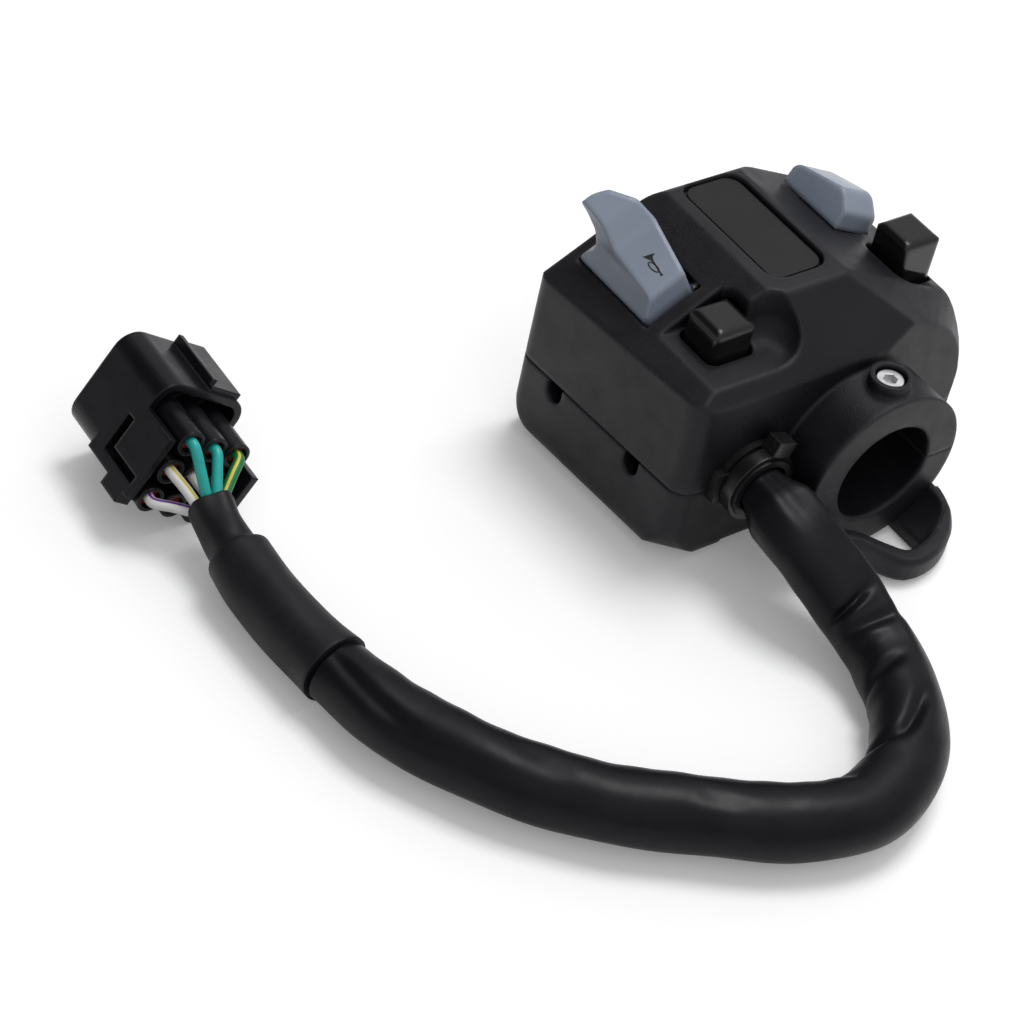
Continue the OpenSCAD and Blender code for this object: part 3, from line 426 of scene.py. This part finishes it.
def tube(name, path, shape, sides, materials, stripe=None):
    """Closed tube along path. shape(i, angle) gives the radius; stripe(side) picks a material."""
    bm = bmesh.new()
    rings = []
    for i, p in enumerate(path):
        t = (path[min(i + 1, len(path) - 1)] - path[max(i - 1, 0)]).normalized()
        side = t.cross(UPRIGHT).normalized()
        rise = side.cross(t)
        ring = []
        for k in range(sides):
            a = 2 * math.pi * k / sides
            ring.append(bm.verts.new(p + shape(i, a) * (math.cos(a) * side + math.sin(a) * rise)))
        rings.append(ring)
    for first, second in zip(rings, rings[1:]):
        for k in range(sides):
            face = bm.faces.new((first[k], first[(k + 1) % sides], second[(k + 1) % sides], second[k]))
            face.smooth = True
            if stripe:
                face.material_index = stripe(k)
    bm.faces.new(list(reversed(rings[0])))
    bm.faces.new(rings[-1])
    bmesh.ops.recalc_face_normals(bm, faces=bm.faces)
    mesh = bpy.data.meshes.new(name)
    bm.to_mesh(mesh)
    bm.free()
    for m in materials:
        mesh.materials.append(m)
    return add(name, mesh)


def ramp(value, start, end):
    """0 before start, 1 past end, and eased between; start may be the larger."""
    s = min(1, max(0, (value - start) / (end - start)))
    return s * s * (3 - 2 * s)


def from_angle(angle, where):
    """Turn from one angle to another, the short way round."""
    return math.atan2(math.sin(angle - where), math.cos(angle - where))


def near(angle, where, width):
    """1 at that angle, falling off over the width to either side."""
    return math.exp(-(from_angle(angle, where) / width) ** 2)


def crease_depth(run, angle):
    """Depth of all creases at a place on the sleeve: a groove with a raised lip on its far side."""
    total = 0
    middle = 1.2
    around = SLEEVE_R / MM
    turn = from_angle(angle, middle) + middle
    for (s0, a0), (s1, a1), depth, half in CREASES:
        if not s0 - CREASE_REACH < run < s1 + CREASE_REACH:
            continue
        start = Vector((s0, a0 * around))
        way = Vector((s1 - s0, (a1 - a0) * around))
        here = Vector((run, turn * around)) - start
        share = min(1, max(0, here.dot(way) / way.length_squared))
        off = here - share * way
        past = off.length if off.x * way.y - off.y * way.x < 0 else -off.length
        lip = CREASE_LIP * math.exp(-((past - 2 * half) / (1.4 * half)) ** 2)
        groove = math.exp(-(past / half) ** 2) - lip
        total += depth * groove * ramp(share, -0.15, 0.4) * ramp(share, 1.15, 0.7)
    return total * MM


def make_sleeve():
    """Soft tube: gathered at the grommet, folded along its first run, creased where it bends."""
    path = spline(LEAD_ROUTE, SLEEVE_STEPS)
    run = [0.0]
    for a, b in zip(path, path[1:]):
        run.append(run[-1] + (b - a).length)
    last = run[-1]

    def shape(i, a):
        s = run[i]
        r = NECK_R + (SLEEVE_R - NECK_R) * ramp(s, NECK_END, FULL_AT)
        r -= TUCK_DEPTH * ramp(s, last - TUCK_RUN, last)
        flat = ramp(s, NECK_END, OVAL_AT)
        r *= 1 + OVAL * flat * math.cos(2 * a)
        fold = ramp(s, 9 * MM, 16 * MM) * ramp(s, 60 * MM, 34 * MM)
        r += fold * MM * sum(height * near(a, angle, width) for angle, width, height in FOLDS)
        r += GATHER_DEPTH * ramp(s, 24 * MM, 10 * MM) * math.sin(GATHERS * a + 1.1)
        waves = math.sin(300 * s + 2 * a) + math.sin(770 * s) * near(a, 0, 0.8)
        r += WAVE_DEPTH * flat * waves
        r -= crease_depth(s / MM, a)
        return min(r, NECK_R) if s < NECK_END else r

    obj = tube("sleeve_skin", path, shape, SLEEVE_SIDES, [MATERIALS["sleeve_black"]])
    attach(obj, "base")
    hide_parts("cable_sleeve")
    return obj, path


def make_shrink():
    """Heat-shrink over the sleeve's end: a rolled lip, a long waist and a tight neck on the wires."""
    steps = 10
    sides = 36
    path = spline(SHRINK_ROUTE, steps)
    size = along(SHRINK_R, steps)
    lip_steps = 4
    lip_height = 0.3 * MM
    lobe_start = 0.62
    lobe_height = 0.8 * MM
    wave_height = 0.12 * MM

    def shape(i, a):
        r = size[i] + lip_height * math.exp(-(i / lip_steps) ** 2)
        lobes = max(0, i / len(path) - lobe_start)
        r += lobe_height * lobes * math.cos(5 * a + 0.6)
        return r + wave_height * math.sin(3 * a + 0.21 * i)

    obj = tube("shrink_skin", path, shape, sides, [MATERIALS["shrink_black"]])
    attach(obj, "base")
    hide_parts("heat_shrink")
    return obj


def wire_path(column, row, dy, dz):
    """Wire from its tower down to the mouth of the heat-shrink."""
    y = column * TOWER_PITCH
    z = TOWER_ROWS[row]
    sunk = 1.4 * MM
    clear = 1 * MM
    arch = Vector((0, 0, 0.2 * MM))
    into_shrink = Vector((1.2 * MM, 0, -0.3 * MM))
    root = Vector(SHRINK_ROUTE[-1]) + Vector((0, dy * MM, dz * MM))
    tip = CONN_FRAME @ Vector((TOWER_LEN - sunk, y, z))
    out = CONN_FRAME @ Vector((TOWER_LEN + clear, y * 0.98, z))
    middle = (out + root) / 2 + arch
    return [tip, out, middle, root, root + into_shrink]


def make_wires():
    """The six wires: each one's tower by column and row, and its place in the heat-shrink's mouth."""
    steps = 12
    wires = [
        ("wire_teal_1", (-1, 0, -1.1, 2.5), "wire_teal", None, "wires_teal"),
        ("wire_teal_2", (0, 0, 1.2, 2.5), "wire_teal", None, "wires_teal"),
        ("wire_green_yellow", (1, 0, 3, 1), "wire_green", STRIPE_YELLOW, "wire_green"),
        ("wire_white_yellow", (-1, 1, -3, 1.1), "wire_white", STRIPE_YELLOW, "wires_white"),
        ("wire_white_plain", (0, 1, 0.3, 0.2), "wire_white", None, "wires_white"),
        ("wire_white_purple", (-1, 2, -2.6, -1.4), "wire_white", STRIPE_PURPLE, "wires_white")]
    made = []
    for name, where, slot, band, node in wires:
        skins = [MATERIALS[slot]] + ([band] if band else [])
        pick = (lambda k: 1 if k in STRIPE_SIDES else 0) if band else None
        path = spline(wire_path(*where), steps)
        obj = tube(name, path, lambda i, a: WIRE_R, WIRE_SIDES, skins, pick)
        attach(obj, "base")
        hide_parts(node)
        made.append(obj)
    return made


def on_face(u, v, lift):
    """Point on the horn's flat face: u along it, v across it, both in millimetres."""
    along_face = Vector((-math.cos(FACE_TILT), 0, math.sin(FACE_TILT)))
    p = Vector((0, 0, HORN_RISE)) + along_face * (u * MM) + Vector((0, v * MM, lift * MM))
    return HORN_ROOT + Matrix.Rotation(HORN_SLOPE, 3, "X") @ p


def make_pictogram():
    """Plain horn sign printed on the rocker: a bell, a looped tube and a mouthpiece."""
    steps = 28
    wide = 1.35
    high = 0.52
    lean = 0.1
    loop = []
    for k in range(steps + 1):
        t = 2 * math.pi * k / steps
        loop.append((5.9 - wide + wide * math.cos(t), 2.0 - lean * math.cos(t) + high * math.sin(t)))
    strokes = [(loop, 0.13), ([(2.4, 2.15), (3.5, 2.32), (4.8, 2.55), (6.1, 2.75)], 0.15),
               ([(2.15, 2.1), (2.5, 2.16)], 0.26)]
    bell = [(5.4, 2.5), (6.0, 2.45), (6.5, 2.2), (7.6, 1.75), (7.3, 2.4), (7.0, 3.2), (6.6, 4.0),
            (6.4, 3.3), (6.0, 3.0), (5.4, 2.8)]
    bm = bmesh.new()
    for line, half in strokes:
        rows = []
        for i, (u, v) in enumerate(line):
            before, after = line[max(i - 1, 0)], line[min(i + 1, len(line) - 1)]
            d = Vector((after[0] - before[0], after[1] - before[1])).normalized()
            sides = [on_face(u - k * half * d.y, v + k * half * d.x, STROKE_LIFT) for k in (1, -1)]
            rows.append([bm.verts.new(side) for side in sides])
        for a, b in zip(rows, rows[1:]):
            bm.faces.new((a[0], a[1], b[1], b[0]))
    bm.faces.new([bm.verts.new(on_face(u, v, BELL_LIFT)) for u, v in bell])
    bmesh.ops.recalc_face_normals(bm, faces=bm.faces)
    mesh = bpy.data.meshes.new("horn_sign")
    bm.to_mesh(mesh)
    bm.free()
    mesh.materials.append(PRINT_DARK)
    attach(add("horn_sign", mesh), "horn")


def make_springs():
    """The buttons' springs, copied from the model and attached to the base."""
    for node, joint, way, keep in SPRINGS:
        mesh = nodes[node].data.copy()
        obj = add(node.replace("spring", "coil"), mesh)
        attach(obj, "base")
        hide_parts(node)
        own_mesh(obj)


make_pictogram()
make_springs()
sleeve, sleeve_path = make_sleeve()
on_lead = [make_shrink(), *make_wires()]
on_lead += [nodes[name] for name in ("connector_housing", "connector_pins", "wire_seals")]


# Floor, backdrop and light

def scaled(tree, value, factor):
    node = tree.nodes.new("ShaderNodeMath")
    node.operation = "MULTIPLY"
    tree.links.new(value, node.inputs[0])
    node.inputs[1].default_value = factor
    return node.outputs[0]


def seen_directly(tree):
    """1 for rays from the camera, and for those mirrored or let through by what it sees."""
    path = tree.nodes.new("ShaderNodeLightPath")
    total = path.outputs["Is Camera Ray"]
    for kind in ("Is Glossy Ray", "Is Transmission Ray"):
        node = tree.nodes.new("ShaderNodeMath")
        node.operation = "MAXIMUM"
        tree.links.new(total, node.inputs[0])
        tree.links.new(path.outputs[kind], node.inputs[1])
        total = node.outputs[0]
    return total


def make_floor():
    """White ground that keeps the shadow, and throws little light back up."""
    mat, tree, shader = new_material("floor")
    seen = seen_directly(tree)
    tree.links.new(mix(tree, seen, FLOOR_BOUNCE, FLOOR_WHITE), shader.inputs["Base Color"])
    shader.inputs["Emission Color"].default_value = (1, 1, 1, 1)
    tree.links.new(scaled(tree, seen, FLOOR_LIFT), shader.inputs["Emission Strength"])
    shader.inputs["Roughness"].default_value = 0.95
    shader.inputs["Specular IOR Level"].default_value = 0.05
    mesh = bpy.data.meshes.new("floor")
    half = FLOOR_HALF
    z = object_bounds()[0].z - FLOOR_GAP
    corners = [(-half, -half, z), (half, -half, z), (half, half, z), (-half, half, z)]
    mesh.from_pydata(corners, [], [(0, 1, 2, 3)])
    mesh.materials.append(mat)
    add("floor", mesh)


def make_world():
    """Light tent: pale all round, brighter overhead, with one dim side."""
    world = bpy.data.worlds.new("studio")
    bpy.context.scene.world = world
    world.use_nodes = True
    tree = world.node_tree
    back = tree.nodes["Background"]
    place = tree.nodes.new("ShaderNodeTexCoord")
    tone = TENT_SIDE
    for direction, start, colour in TENT_TONES:
        dot = tree.nodes.new("ShaderNodeVectorMath")
        dot.operation = "DOT_PRODUCT"
        tree.links.new(place.outputs["Generated"], dot.inputs[0])
        dot.inputs[1].default_value = direction
        fade = tree.nodes.new("ShaderNodeMapRange")
        fade.interpolation_type = "SMOOTHSTEP"
        fade.inputs["From Min"].default_value = start
        fade.inputs["From Max"].default_value = FADE_END
        tree.links.new(dot.outputs["Value"], fade.inputs["Value"])
        tone = mix(tree, fade.outputs["Result"], tone, colour)
    tree.links.new(tone, back.inputs["Color"])
    back.inputs["Strength"].default_value = 1


def make_key_lamp():
    data = bpy.data.lights.new("key_box", "AREA")
    data.shape = "RECTANGLE"
    data.size = KEY_SIDE
    data.size_y = KEY_SIDE
    data.energy = KEY_POWER
    obj = add("key_box", data)
    obj.location = KEY_AT
    obj.rotation_mode = "QUATERNION"
    obj.rotation_quaternion = (KEY_AIM - KEY_AT).to_track_quat("-Z", "Y")


make_floor()
make_world()
make_key_lamp()
bpy.context.scene.view_settings.view_transform = "Standard"
